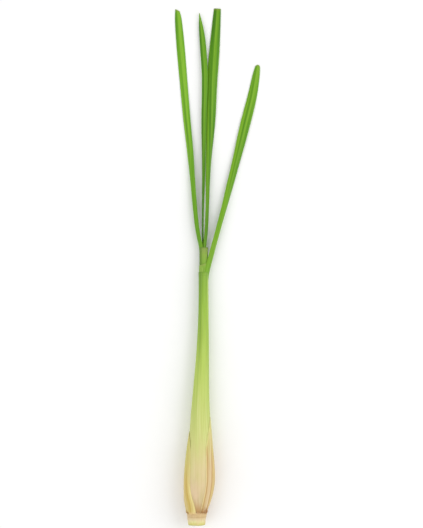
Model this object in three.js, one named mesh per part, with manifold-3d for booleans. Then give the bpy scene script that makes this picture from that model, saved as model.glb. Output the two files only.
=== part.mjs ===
// A cut lemongrass stalk lying on a surface: trimmed root end, swollen base in
// dry outer sheaths, and four leaves that stand one inside the other in two ranks.
//
// Millimetres, +Z up. The stalk lies along +Y, root end at -Y, and its leaves fan
// out to -X and +X. The surface that it lies on is z = 0. While it is built, y is
// counted from the root cut and x from the middle of the swollen base.

import * as THREE from "three";
import { mergeVertices } from "three/addons/utils/BufferGeometryUtils.js";
import Module from "manifold-3d";

const wasm = await Module();
wasm.setup();

// ---- driving dimensions ----

const GAP = 0.3; // clear space between two pieces that touch
const BLADE = 0.65; // thickness of a leaf blade
const HUSK = 0.7; // thickness of a dry outer sheath
const LAP = 0.55; // step where one margin of a sheath lies over the other

const STUMP_TOP = 9.4; // y of the ring where the sheaths leave the root end
const COLLAR_1 = 192.2; // y of the first leaf's collar
const COLLAR_2 = 211; // y of the second leaf's collar

const REST_HEIGHT = 10.05; // height of the stem's axis over the rest spot
const REST_Y = 38; // y of the middle of the rest spot
const SLOPE = 0.032; // fall of the axis per mm towards the leaves

const STUMP_PEG = { radius: 4, end: 20 }; // the stump's core inside the base
const SECOND_PEG = { radius: 2.3, start: 180 };
const THIRD_PEG = { radius: 2.1, start: 201.5, end: 212.5 };
const SPEAR_PEG = { radius: 0.85, start: 204.5, end: 217 };
const SECOND_RADIUS = 3.2; // the second leaf's sheath over the first collar
const SOCKET_REACH = 16; // how far the room for an inner leaf runs on past a collar
const PEG_SIDES = 20;

// Outline of the swollen base and stem: [y, radius].
const STEM_RADIUS = [
  [0, 6.3], [STUMP_TOP, 7.7], [20, 10.6], [33, 11.95], [46, 11.4], [60, 9.9],
  [79, 7.8], [106, 5.95], [136, 4.6], [165, 3.85], [COLLAR_1, 3.7],
];
// Sideways run of the axis: [y, x].
const STEM_LEAN = [
  [0, -2.6], [12, -2.4], [32, -0.6], [60, 0], [90, 0.4], [136, 2.1],
  [165, 2.6], [230, 2.7],
];
// How far the first leaf's sheath lies inside that outline under the husks: [y, depth].
const BED = HUSK + GAP + LAP / 2;
const HUSK_BED = [[0, BED], [62, BED], [88, 0], [230, 0]];

const COLOURS = {
  root: 0xded0a6,
  husk: 0xcbb07a,
  stem: 0xb9cc7a,
  leaf: 0x74a83a,
};

// ---- small helpers ----

const radians = THREE.MathUtils.degToRad;

// Value at y of a smooth line through [y, value] pairs, flat beyond its ends.
function along(pairs, y) {
  if (y <= pairs[0][0]) return pairs[0][1];
  const last = pairs.length - 1;
  if (y >= pairs[last][0]) return pairs[last][1];
  const i = pairs.findIndex((pair) => pair[0] > y) - 1;
  const slope = (k) => {
    const a = pairs[Math.max(k - 1, 0)];
    const b = pairs[Math.min(k + 1, last)];
    return (b[1] - a[1]) / (b[0] - a[0]);
  };
  const [y0, v0] = pairs[i];
  const [y1, v1] = pairs[i + 1];
  const h = y1 - y0;
  const t = (y - y0) / h;
  const t2 = t * t;
  const t3 = t2 * t;
  return (2 * t3 - 3 * t2 + 1) * v0 + (t3 - 2 * t2 + t) * h * slope(i)
    + (3 * t2 - 2 * t3) * v1 + (t3 - t2) * h * slope(i + 1);
}

const spread = (count, from, to) =>
  Array.from({ length: count }, (_, i) => from + ((to - from) * i) / (count - 1));

const axisX = (y) => along(STEM_LEAN, y);
const axisZ = (y) => REST_HEIGHT - SLOPE * (y - REST_Y);
const bedRadius = (y) => along(STEM_RADIUS, y) - along(HUSK_BED, y);

// A closed mesh as a manifold solid.
function toSolid(geometry) {
  geometry.deleteAttribute("normal");
  geometry.deleteAttribute("uv");
  const merged = mergeVertices(geometry, 1e-4);
  return new wasm.Manifold(new wasm.Mesh({
    numProp: 3,
    vertProperties: new Float32Array(merged.attributes.position.array),
    triVerts: new Uint32Array(merged.index.array),
  }));
}

function toGeometry(solid) {
  const mesh = solid.getMesh();
  const geometry = new THREE.BufferGeometry();
  geometry.setAttribute("position", new THREE.BufferAttribute(mesh.vertProperties, 3));
  geometry.setIndex(new THREE.BufferAttribute(mesh.triVerts, 1));
  geometry.computeVertexNormals();
  return geometry;
}

function indexed(points, faces) {
  const geometry = new THREE.BufferGeometry().setFromPoints(points);
  geometry.setIndex(faces);
  return geometry;
}

// ---- round pieces: rings round the stem's axis ----

// Closed solid through one ring for each y. radius(y, angle) counts the angle from
// the top towards +X, in degrees. A ring with a step has it at the angle split(y).
function roundSolid(ys, radius, { sides = 40, split = () => 0, step = false } = {}) {
  const turns = spread(sides + 1, 0, 360).slice(0, step ? sides + 1 : sides);
  const count = turns.length;
  const points = [];
  for (const y of ys) {
    for (const turn of turns) {
      const degrees = split(y) + turn;
      const angle = radians(degrees);
      const r = radius(y, degrees, turn / 360);
      const z = Math.max(axisZ(y) + r * Math.cos(angle), 0);
      points.push(new THREE.Vector3(axisX(y) + r * Math.sin(angle), y, z));
    }
  }
  const faces = [];
  for (let k = 0; k + 1 < ys.length; k++) {
    for (let i = 0; i < count; i++) {
      const a = k * count + i;
      const b = k * count + ((i + 1) % count);
      faces.push(a, b, a + count, b, b + count, a + count);
    }
  }
  for (const [k, turned] of [[0, true], [ys.length - 1, false]]) {
    const centre = points.push(new THREE.Vector3(axisX(ys[k]), ys[k], axisZ(ys[k]))) - 1;
    for (let i = 0; i < count; i++) {
      const a = k * count + i;
      const b = k * count + ((i + 1) % count);
      faces.push(...(turned ? [b, a, centre] : [a, b, centre]));
    }
  }
  return toSolid(indexed(points, faces));
}

// A plain round hole or peg on the stem's axis.
const plug = (radius, from, to) =>
  roundSolid([from, (from + to) / 2, to], () => radius, { sides: PEG_SIDES });

// ---- thin pieces: a grid of points given a thickness ----

// Closed solid of one thickness on both sides of grid[k][i]. Both faces are split
// along the same diagonals, so they stay apart where the sheet bends.
function sheetSolid(grid, thickness) {
  const rows = grid.length;
  const columns = grid[0].length;
  const at = (k, i) =>
    grid[THREE.MathUtils.clamp(k, 0, rows - 1)][THREE.MathUtils.clamp(i, 0, columns - 1)];
  const upper = [];
  const lower = [];
  for (let k = 0; k < rows; k++) {
    for (let i = 0; i < columns; i++) {
      const lengthwise = at(k + 1, i).clone().sub(at(k - 1, i));
      const across = at(k, i + 1).clone().sub(at(k, i - 1));
      const half = across.cross(lengthwise).normalize().multiplyScalar(thickness / 2);
      upper.push(at(k, i).clone().add(half));
      lower.push(at(k, i).clone().sub(half));
    }
  }
  const faces = [];
  const under = upper.length;
  const quad = (a, b, c, d) => faces.push(a, b, c, a, c, d);
  for (let k = 0; k + 1 < rows; k++) {
    for (let i = 0; i + 1 < columns; i++) {
      const a = k * columns + i;
      quad(a, a + 1, a + columns + 1, a + columns);
      faces.push(under + a, under + a + columns + 1, under + a + 1);
      faces.push(under + a, under + a + columns, under + a + columns + 1);
    }
    const left = k * columns;
    const right = left + columns - 1;
    quad(left, left + columns, under + left + columns, under + left);
    quad(right, under + right, under + right + columns, right + columns);
  }
  for (let i = 0; i + 1 < columns; i++) {
    const end = (rows - 1) * columns + i;
    quad(i, under + i, under + i + 1, i + 1);
    quad(end, end + 1, under + end + 1, under + end);
  }
  return toSolid(indexed([...upper, ...lower], faces));
}

// ---- leaves ----

// One row across a blade, from margin to margin. The two arms turn by fold degrees
// over the first bend millimetres from the midrib, and run straight from there.
// What would sink into the surface lies on it.
function bladeRow(place, across, inward, { width, fold, bend }, columns) {
  const halfCount = (columns - 1) / 2;
  const fine = 8;
  const arm = [[0, 0]];
  let side = 0;
  let lift = 0;
  const stepLength = width / 2 / halfCount / fine;
  for (let i = 0; i < halfCount * fine; i++) {
    const turn = radians(fold) * Math.min(((i + 0.5) * stepLength) / bend, 1);
    side += Math.cos(turn) * stepLength;
    lift += Math.sin(turn) * stepLength;
    if ((i + 1) % fine === 0) arm.push([side, lift]);
  }
  const point = (sign, [s, l]) => {
    const p = place.clone().addScaledVector(across, sign * s).addScaledVector(inward, l);
    p.z = Math.max(p.z, BLADE / 2);
    return p;
  };
  return [
    ...arm.slice(1).reverse().map((a) => point(-1, a)),
    ...arm.map((a) => point(1, a)),
  ];
}

// A blade along its midrib. facing is -1 where its hollow side looks to -X at the
// base, and +1 where it looks to +X. The keys run from 0 at the base to 1 at the tip.
function bladeSolid({ midrib, facing, keys, rows = 34, columns = 9 }) {
  const curve = new THREE.CatmullRomCurve3(midrib.map((p) => new THREE.Vector3(...p)));
  const grid = spread(rows, 0, 1).map((even) => {
    const t = even ** 1.25; // closer rows near the base, where the blade unfolds
    const place = curve.getPointAt(t);
    const tangent = curve.getTangentAt(t);
    const inward = new THREE.Vector3(facing, 0, 0);
    inward.addScaledVector(tangent, -inward.dot(tangent)).normalize();
    inward.applyAxisAngle(tangent, radians(along(keys.twist, t)) * facing);
    const across = new THREE.Vector3().crossVectors(tangent, inward);
    const section = {
      width: along(keys.width, t),
      fold: along(keys.fold, t),
      bend: along(keys.bend, t),
    };
    return bladeRow(place, across, inward, section, columns);
  });
  return sheetSolid(grid, BLADE);
}

// Share by which an angle points to the side of the midrib: 1 there, 0 behind.
const towards = (angle, midribAngle) =>
  THREE.MathUtils.smoothstep(Math.cos(radians(angle - midribAngle)), -0.25, 0.35);

// How much of a collar's swelling there is at y: none below its length, all at its top.
const collarSwell = (y, { top, length }) =>
  THREE.MathUtils.smoothstep(y, top - length, top - 0.5);

// ---- the pieces ----

function rootStump() {
  const cutChamfer = 0.5;
  const ys = [0, cutChamfer, 2.5, 5, 7.5, STUMP_TOP];
  const knobs = (y, angle) =>
    0.16 * Math.sin(radians(5 * angle)) + 0.12 * Math.sin(radians(9 * angle) + 0.8 * y);
  const disc = roundSolid(ys, (y, angle) =>
    along(STEM_RADIUS, y) - (y < cutChamfer ? cutChamfer : 0) + knobs(y, angle));
  return disc.add(plug(STUMP_PEG.radius, STUMP_TOP - 1, STUMP_PEG.end));
}

// A dry sheath round one side of the base. edges gives its two edges as angles from
// the top towards +X, for each y, and it frays into teeth along its upper edge.
function drySheath({ start, end, front, back, fray }) {
  const rows = 26;
  const columns = 13;
  const grid = spread(rows, start, end).map((y) => {
    const torn = fray * Math.sin(0.9 * y) * Math.sin(0.37 * y + 1);
    const from = along(front, y) + torn;
    const to = along(back, y) - torn;
    return spread(columns, from, to).map((angle) => {
      const r = bedRadius(y) + LAP / 2 + GAP + HUSK / 2;
      const a = radians(angle);
      return new THREE.Vector3(axisX(y) + r * Math.sin(a), y, axisZ(y) + r * Math.cos(a));
    });
  });
  return sheetSolid(grid, HUSK);
}

function firstLeaf() {
  const base = STUMP_TOP + GAP;
  const collar = { top: COLLAR_1, length: 5 };
  const flare = 0.4; // the collar's swelling under the blade
  const lapAngle = [[base, -30], [40, -42], [80, -50], [130, -46], [COLLAR_1, -28]];
  const ys = [
    ...spread(22, base, 90),
    ...spread(12, 97, 184),
    ...spread(6, 186, COLLAR_1),
  ];
  const sheath = roundSolid(ys, (y, angle, round) => {
    const swell = flare * collarSwell(y, collar) * towards(angle, 90);
    return bedRadius(y) + LAP * (0.5 - round) + swell;
  }, { split: (y) => along(lapAngle, y), step: true });
  const blade = bladeSolid({
    facing: -1,
    midrib: [
      [5.75, 184, 5.3], [6.7, 192, 5.1], [10.5, 207, 4.8], [15, 224, 4.4],
      [19.6, 242, 3.8], [23.7, 260, 3.2], [28.7, 281, 2.4], [34, 303, 1.6],
      [40, 327, 0.9], [44.3, 350.5, 0.5],
    ],
    keys: {
      width: [
        [0, 9], [0.05, 10.4], [0.13, 8.4], [0.22, 7], [0.3, 6.8], [0.4, 6.5],
        [0.5, 6.3], [0.58, 6.5], [0.66, 7.2], [0.74, 7.8], [0.82, 7.4], [0.9, 6.5],
        [0.95, 5.6], [0.98, 4.2], [1, 2],
      ],
      fold: [
        [0, 86], [0.05, 84], [0.14, 74], [0.3, 52], [0.45, 42], [0.58, 28], [0.7, 16], [1, 10],
      ],
      bend: [[0, 4.8], [0.05, 4.8], [0.14, 2], [0.3, 1.8], [0.6, 2.5], [1, 2.5]],
      twist: [[0, 0], [0.1, 4], [0.3, 45], [0.6, 84], [1, 90]],
    },
  });
  return sheath
    .add(blade)
    .subtract(plug(SECOND_PEG.radius + GAP, SECOND_PEG.start - GAP, COLLAR_1 + 0.5))
    .subtract(plug(SECOND_RADIUS + GAP, COLLAR_1, COLLAR_1 + SOCKET_REACH))
    .subtract(plug(STUMP_PEG.radius + GAP, base - 1, STUMP_PEG.end + GAP));
}

function secondLeaf() {
  const shoulder = COLLAR_1 + GAP;
  const collar = { top: COLLAR_2, length: 3.5 };
  const flare = 0.3;
  const lap = 0.35;
  const lapAngle = 32;
  const ys = [...spread(6, shoulder, COLLAR_2 - 4), ...spread(5, COLLAR_2 - 3, COLLAR_2)];
  const sheath = roundSolid(ys, (y, angle, round) => {
    const swell = flare * collarSwell(y, collar) * (0.6 + 0.4 * towards(angle, -90));
    return SECOND_RADIUS - lap * round + swell;
  }, { split: () => lapAngle, step: true });
  const blade = bladeSolid({
    facing: 1,
    midrib: [
      [0.1, 204, 4.7], [-0.4, 211, 4.5], [-3, 224, 4.3], [-5.2, 243, 3.9],
      [-6.7, 264, 3.2], [-8.1, 287, 2.2], [-10.4, 312, 1.3], [-12.6, 338, 0.7],
      [-14.8, 364, 0.4], [-17.3, 393.3, 0.3],
    ],
    keys: {
      width: [
        [0, 7], [0.05, 8.2], [0.13, 6.6], [0.3, 6.2], [0.55, 5.6], [0.8, 6.2],
        [0.9, 6], [0.96, 5], [1, 3.4],
      ],
      fold: [[0, 86], [0.05, 84], [0.14, 72], [0.3, 50], [0.55, 18], [1, 8]],
      bend: [[0, 3.9], [0.05, 3.8], [0.14, 1.7], [0.3, 1.8], [0.6, 2.5], [1, 2.5]],
      twist: [[0, 0], [0.1, 4], [0.3, 45], [0.6, 84], [1, 90]],
    },
  });
  return sheath
    .add(blade)
    .add(plug(SECOND_PEG.radius, SECOND_PEG.start, shoulder + 1))
    .subtract(plug(THIRD_PEG.radius + GAP, THIRD_PEG.start - GAP, COLLAR_2 + SOCKET_REACH));
}

function thirdLeaf() {
  const sheath = plug(THIRD_PEG.radius, THIRD_PEG.start, THIRD_PEG.end);
  const blade = bladeSolid({
    facing: -1,
    midrib: [
      [4.35, 208, 4.6], [4.5, 213, 4.4], [5.6, 224, 4.3], [6.4, 240, 4.2],
      [7.0, 258, 3.9], [7.8, 281, 3.4], [8.6, 311, 2.7], [9.6, 341, 1.9],
      [11.5, 368, 1.1], [13.3, 393.5, 0.5],
    ],
    keys: {
      width: [
        [0, 6], [0.14, 6], [0.3, 6.2], [0.5, 7.2], [0.72, 7.9], [0.82, 8],
        [0.9, 7], [0.95, 6.1], [1, 5.2],
      ],
      fold: [[0, 84], [0.06, 80], [0.16, 66], [0.3, 58], [0.55, 24], [1, 10]],
      bend: [[0, 2.6], [0.06, 2.3], [0.16, 1.6], [0.3, 1.8], [0.6, 2.5], [1, 2.5]],
      twist: [[0, 0], [0.2, 6], [0.35, 40], [0.6, 82], [1, 90]],
    },
  });
  return sheath
    .add(blade)
    .subtract(plug(SPEAR_PEG.radius + GAP, SPEAR_PEG.start - GAP, COLLAR_2 + SOCKET_REACH));
}

function spearLeaf() {
  const blade = bladeSolid({
    facing: 1,
    columns: 7,
    midrib: [
      [2.05, 209, 4.55], [1.95, 216, 4.5], [1.8, 232, 4.75], [1.9, 254, 4.7],
      [2.3, 280, 4.5], [2.9, 311, 4.1], [3.6, 341, 3.5], [2.8, 358, 2.9],
      [1.6, 372, 2.3], [-0.5, 390, 1.6],
    ],
    keys: {
      width: [
        [0, 2.4], [0.08, 2.8], [0.2, 3.6], [0.4, 4.2], [0.65, 4.3], [0.84, 4.9],
        [0.93, 3.6], [1, 0.8],
      ],
      fold: [[0, 80], [0.1, 78], [0.3, 62], [0.6, 30], [1, 12]],
      bend: [[0, 1.1], [0.1, 1.2], [0.3, 1.5], [0.6, 2.2], [1, 2.2]],
      twist: [[0, 0], [0.15, 8], [0.35, 45], [0.6, 78], [1, 88]],
    },
  });
  return plug(SPEAR_PEG.radius, SPEAR_PEG.start, SPEAR_PEG.end).add(blade);
}

const leftHusk = () => drySheath({
  start: STUMP_TOP + GAP,
  end: 71,
  front: [
    [9, -2], [13, -8], [18, -18], [22, -25], [29, -35], [37, -39], [46, -40],
    [60, -51], [66, -63], [71, -80],
  ],
  back: [[9, -142], [40, -140], [58, -118], [71, -86]],
  fray: 1.2,
});

const rightHusk = () => drySheath({
  start: STUMP_TOP + GAP,
  end: 82,
  front: [[9, 21], [18, 22], [26, 25], [50, 26], [60, 30], [72, 50], [82, 78]],
  back: [[9, 142], [40, 140], [62, 122], [82, 86]],
  fray: 1.0,
});

// ---- the stalk ----

function piece(name, solid, colour, roughness) {
  const material = new THREE.MeshStandardMaterial({ color: colour, roughness, metalness: 0 });
  const mesh = new THREE.Mesh(toGeometry(solid), material);
  mesh.name = name;
  return mesh;
}

const stalk = new THREE.Group();
stalk.add(
  piece("root_stump", rootStump(), COLOURS.root, 0.7),
  piece("dry_sheath_left", leftHusk(), COLOURS.husk, 0.75),
  piece("dry_sheath_right", rightHusk(), COLOURS.husk, 0.75),
  piece("first_leaf", firstLeaf(), COLOURS.stem, 0.5),
  piece("second_leaf", secondLeaf(), COLOURS.leaf, 0.5),
  piece("third_leaf", thirdLeaf(), COLOURS.leaf, 0.5),
  piece("spear_leaf", spearLeaf(), COLOURS.leaf, 0.5),
);

// The origin is under the middle of the stalk's box, on the surface it lies on.
const reach = new THREE.Box3().setFromObject(stalk, true);
const middle = reach.getCenter(new THREE.Vector3());
stalk.position.set(-middle.x, -middle.y, -reach.min.z);

export default stalk;
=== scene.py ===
import math

import bmesh
import bpy
import numpy as np
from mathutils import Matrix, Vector


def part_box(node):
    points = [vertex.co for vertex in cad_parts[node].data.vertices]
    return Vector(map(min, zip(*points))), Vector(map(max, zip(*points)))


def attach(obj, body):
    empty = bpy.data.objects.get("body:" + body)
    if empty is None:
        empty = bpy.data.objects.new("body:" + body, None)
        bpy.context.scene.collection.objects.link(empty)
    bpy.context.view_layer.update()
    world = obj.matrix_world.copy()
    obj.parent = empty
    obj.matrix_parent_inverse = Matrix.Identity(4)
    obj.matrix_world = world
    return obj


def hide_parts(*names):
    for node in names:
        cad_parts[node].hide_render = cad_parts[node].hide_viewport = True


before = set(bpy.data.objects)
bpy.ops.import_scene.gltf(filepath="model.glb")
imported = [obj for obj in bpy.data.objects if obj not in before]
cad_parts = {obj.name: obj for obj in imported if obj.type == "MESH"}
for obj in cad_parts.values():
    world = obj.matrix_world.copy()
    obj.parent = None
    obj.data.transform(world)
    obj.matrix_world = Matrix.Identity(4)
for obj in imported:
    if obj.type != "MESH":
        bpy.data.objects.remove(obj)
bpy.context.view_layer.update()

print("stalk: frame loaded")

# Sizes below are millimetres, counted as on the growing plant: y runs up from the
# root cut, x sideways from the middle of the swollen base, z up from the surface.
mm = 0.001

stem = {
    "firstCollar": 192.2,
    "secondCollar": 211.0,
    "restHeight": 10.05,  # the axis over the spot that the stalk rests on
    "restAt": 38.0,
    "fall": 0.032,  # drop of the axis for each millimetre towards the leaves
    "middleX": -13.317,  # x of the base's middle in the part
    "radius": [
        (0, 6.3), (9.4, 7.7), (20, 10.6), (33, 11.95), (46, 11.4), (60, 9.9),
        (79, 7.8), (106, 5.95), (136, 4.6), (165, 3.85), (192.2, 3.7),
    ],
    "lean": [
        (0, -2.6), (12, -2.4), (32, -0.6), (60, 0), (90, 0.4), (136, 2.1),
        (165, 2.6), (230, 2.7),
    ],
    "bed": [(0, 0.62), (62, 0.62), (88, 0), (230, 0)],  # depth under the husks
}
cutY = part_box("root_stump")[0].y / mm


def follow(pairs, at):
    # smooth line through (position, value) pairs, flat beyond its ends
    xs, vs = np.array(pairs, float).T
    slopes = np.empty_like(vs)
    slopes[1:-1] = (vs[2:] - vs[:-2]) / (xs[2:] - xs[:-2])
    slopes[0] = (vs[1] - vs[0]) / (xs[1] - xs[0])
    slopes[-1] = (vs[-1] - vs[-2]) / (xs[-1] - xs[-2])
    at = np.clip(at, xs[0], xs[-1])
    i = np.clip(np.searchsorted(xs, at, side="right") - 1, 0, len(xs) - 2)
    h = xs[i + 1] - xs[i]
    t = (at - xs[i]) / h
    rise = (2 * t**3 - 3 * t**2 + 1) * vs[i] + (3 * t**2 - 2 * t**3) * vs[i + 1]
    return rise + h * ((t**3 - 2 * t**2 + t) * slopes[i] + (t**3 - t**2) * slopes[i + 1])


def smoothStep(value, low, high):
    t = np.clip((np.asarray(value, float) - low) / (high - low), 0, 1)
    return t * t * (3 - 2 * t)


def roughLine(at, step, seed):
    # smooth random values between -1 and 1, a new one for each step
    marks = np.arange(np.min(at) - step, np.max(at) + 2 * step, step)
    values = np.random.default_rng(seed).uniform(-1, 1, len(marks))
    return follow(list(zip(marks, values)), at)


def axisX(y):
    return follow(stem["lean"], y)


def axisZ(y):
    return stem["restHeight"] - stem["fall"] * (y - stem["restAt"])


def bedRadius(y):
    return follow(stem["radius"], y) - follow(stem["bed"], y)


def toPart(points):
    # from growing millimetres to the part's metres
    return (np.asarray(points, float) + (stem["middleX"], cutY, 0)) * mm


def link(tree, source, target):
    tree.links.new(source, target)


def node(tree, kind, inputs=None, **settings):
    made = tree.nodes.new(kind)
    for key, value in settings.items():
        setattr(made, key, value)
    for key, value in (inputs or {}).items():
        if isinstance(value, bpy.types.NodeSocket):
            link(tree, value, made.inputs[key])
        else:
            made.inputs[key].default_value = value
    return made


def sums(tree, operation, first, second=0.0, third=0.0):
    made = node(tree, "ShaderNodeMath", {0: first, 1: second, 2: third}, operation=operation)
    return made.outputs[0]


def paint(red, green, blue):
    # a screen colour, 0 to 255, as the linear colour that a shader wants
    def one(c):
        c = c / 255
        return c / 12.92 if c <= 0.04045 else ((c + 0.055) / 1.055) ** 2.4
    return (one(red), one(green), one(blue), 1)


def blend(tree, factor, first, second, mode="MIX"):
    made = node(tree, "ShaderNodeMix", {0: factor, 6: first, 7: second},
                data_type="RGBA", blend_type=mode)
    return made.outputs[2]


def ramp(tree, factor, stops):
    made = node(tree, "ShaderNodeValToRGB", {"Fac": factor})
    line = made.color_ramp
    while len(line.elements) < len(stops):
        line.elements.new(1)
    for element, (position, colour) in zip(line.elements, stops):
        element.position = position
        element.color = colour
    return made.outputs["Color"]


def fade(tree, value, low, high, start=0.0, end=1.0):
    made = node(tree, "ShaderNodeMapRange",
                {0: value, 1: low, 2: high, 3: start, 4: end}, interpolation_type="SMOOTHSTEP")
    return made.outputs[0]


def speckle(tree, vector, scale, detail=3.0, rough=0.55):
    made = node(tree, "ShaderNodeTexNoise",
                {"Vector": vector, "Scale": scale, "Detail": detail, "Roughness": rough})
    return made.outputs["Fac"]


def stretch(tree, first, second, third=0.0):
    made = node(tree, "ShaderNodeCombineXYZ", {0: first, 1: second, 2: third})
    return made.outputs[0]


def markedOn(tree, name):
    made = node(tree, "ShaderNodeAttribute", attribute_name=name)
    return made.outputs["Fac"]


def partPlace(tree):
    # where a point lies in the part: x and z in millimetres, y from the root cut
    place = node(tree, "ShaderNodeTexCoord").outputs["Object"]
    split = node(tree, "ShaderNodeSeparateXYZ", {0: place})
    x = sums(tree, "MULTIPLY", split.outputs[0], 1 / mm)
    y = sums(tree, "MULTIPLY_ADD", split.outputs[1], 1 / mm, -cutY)
    z = sums(tree, "MULTIPLY", split.outputs[2], 1 / mm)
    return x, y, z


def newFinish(name, roughness, specular):
    material = bpy.data.materials.new(name)
    material.use_nodes = True
    tree = material.node_tree
    shader = tree.nodes["Principled BSDF"]
    shader.inputs["Roughness"].default_value = roughness
    shader.inputs["Specular IOR Level"].default_value = specular
    return material, tree, shader


def times(tree, first, second):
    return sums(tree, "MULTIPLY", first, second)


def apart(tree, value, at):
    # how far a value is from a place, to either side
    return sums(tree, "ABSOLUTE", sums(tree, "SUBTRACT", value, at))


def unsettle(tree, value, noise, size):
    # a value that a noise shifts by up to half of size each way
    return sums(tree, "MULTIPLY_ADD", sums(tree, "SUBTRACT", noise, 0.5), size, value)


def drawnOut(tree, across, y, fine, slow, seed=0.0, detail=4.0, rough=0.55):
    # noise drawn out along the stalk: quick across it and slow along it
    vector = stretch(tree, times(tree, across, fine), times(tree, y, slow), seed)
    return speckle(tree, vector, 1.0, detail, rough)


def mottled(tree, place, slow, scale, detail=4.0):
    # noise through the solid, drawn out along the stalk where slow is under 1
    x, y, z = place
    return speckle(tree, stretch(tree, x, times(tree, y, slow), z), scale, detail)


def tint(tree, colour, other, value, span, share=None, mode="MIX"):
    # lays another colour on; span is where it starts, where it is full, and how strong
    start, full, strength = span
    factor = fade(tree, value, start, full, 0.0, strength)
    if share is not None:
        factor = times(tree, factor, share)
    return blend(tree, factor, colour, other, mode)


def finishOff(tree, shader, colour, noise, gloss, depth, relief=None):
    # gloss is the roughness at the noise's two ends; depth is the relief in millimetres
    link(tree, colour, shader.inputs["Base Color"])
    link(tree, fade(tree, noise, 0.3, 0.7, *gloss), shader.inputs["Roughness"])
    bump = node(tree, "ShaderNodeBump", {
        "Strength": 0.6, "Distance": depth * mm, "Height": noise if relief is None else relief,
    })
    link(tree, bump.outputs["Normal"], shader.inputs["Normal"])


# The finishes. An entry that ends in On says where the colour before it starts, where
# it is full and how strong it is; Above and Below are heights where it fades in. Noise
# on a skin is given as its pace across and along, start, detail and roughness, and noise
# through the solid as its pace along and its scale.

def stemSkin():
    # smooth sheath skin: blushed cream at the base, through yellow, to leaf green
    look = {
        "heights": [
            (8, paint(204, 172, 126)), (20, paint(206, 184, 142)), (36, paint(212, 197, 142)),
            (52, paint(207, 202, 132)), (70, paint(200, 206, 124)), (97, paint(187, 203, 104)),
            (130, paint(175, 200, 86)), (164, paint(150, 187, 60)), (192, paint(120, 164, 36)),
        ],
        "wander": (11.0, 0.012, 0.0, 3.0), "drift": 46.0,  # how far the heights wander
        "lines": (95.0, 0.018, 0.0, 4.0, 0.6),
        "pale": paint(238, 234, 184), "paleOn": (0.5, 0.74, 0.36),
        "furrow": paint(206, 200, 138), "furrowOn": (0.5, 0.3, 0.42),
        "blush": paint(224, 196, 160), "blushOn": (0.42, 0.6, 0.8), "blushBelow": (66.0, 12.0),
        "patches": (6.0, 0.03, 4.0, 3.0),
        "shade": paint(112, 152, 34), "shadeOn": (0.42, 0.64, 0.5), "shadeAbove": (60.0, 140.0),
        "flush": (8.0, 0.008, 9.0, 2.0),
        "collarLine": paint(92, 128, 36), "collarLines": [(191.6, 0.4), (189.9, 0.22)],
        "collarLineWide": (0.6, 0.1),
        "glint": paint(208, 222, 132), "glintOn": (0.034, 0.006, 0.62), "glintAt": 0.34,
        "glintAbove": (140.0, 176.0), "glintBelow": (190.0, 184.0),
        # painted shade along the left side of the upper stem
        "leftShade": paint(88, 130, 26), "leftShadeOn": (0.17, 0.05, 0.42), "leftShadeAbove": (116.0, 168.0),
        "smudge": paint(164, 116, 68), "smudgeOn": (2.4, 0.2, 0.75), "smudgeAt": 11.4,
        "crumb": (26.0, 0.28, 2.0), "crumble": 9.0,  # how ragged the smudge is
        "tan": paint(186, 148, 96), "tanOn": (19.0, 12.0, 0.8),
        "gloss": (0.5, 0.38), "depth": 0.09,
    }
    material, tree, shader = newFinish("stemSkin", 0.42, 0.3)
    y = partPlace(tree)[1]
    turn = markedOn(tree, "turn")
    first, last = look["heights"][0][0], look["heights"][-1][0]
    shifted = unsettle(tree, y, drawnOut(tree, turn, y, *look["wander"]), look["drift"])
    height = sums(tree, "DIVIDE", sums(tree, "SUBTRACT", shifted, first), last - first)
    colour = ramp(tree, height, [((h - first) / (last - first), c) for h, c in look["heights"]])
    lines = drawnOut(tree, turn, y, *look["lines"])
    colour = tint(tree, colour, look["pale"], lines, look["paleOn"])
    colour = tint(tree, colour, look["furrow"], lines, look["furrowOn"], mode="MULTIPLY")
    patches = drawnOut(tree, turn, y, *look["patches"])
    low = fade(tree, y, *look["blushBelow"])
    colour = tint(tree, colour, look["blush"], patches, look["blushOn"], low)
    flush = drawnOut(tree, turn, y, *look["flush"])
    high = fade(tree, y, *look["shadeAbove"])
    colour = tint(tree, colour, look["shade"], flush, look["shadeOn"], high)
    for at, strength in look["collarLines"]:
        colour = tint(tree, colour, look["collarLine"], apart(tree, y, at),
                      (*look["collarLineWide"], strength))
    reach = times(tree, fade(tree, y, *look["glintAbove"]), fade(tree, y, *look["glintBelow"]))
    beside = apart(tree, turn, look["glintAt"])
    colour = tint(tree, colour, look["glint"], beside, look["glintOn"], reach)
    # painted shade: the upper stem darkens along its left side, away from the key light
    leftSide = sums(tree, "SUBTRACT", 0.5, apart(tree, turn, 0.5))
    colour = tint(tree, colour, look["leftShade"], leftSide, look["leftShadeOn"],
                  fade(tree, y, *look["leftShadeAbove"]))
    crumb = drawnOut(tree, turn, y, *look["crumb"])
    off = unsettle(tree, apart(tree, y, look["smudgeAt"]), crumb, look["crumble"])
    colour = tint(tree, colour, look["smudge"], off, look["smudgeOn"])
    colour = tint(tree, colour, look["tan"], y, look["tanOn"])
    finishOff(tree, shader, colour, lines, look["gloss"], look["depth"])
    return material


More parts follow.
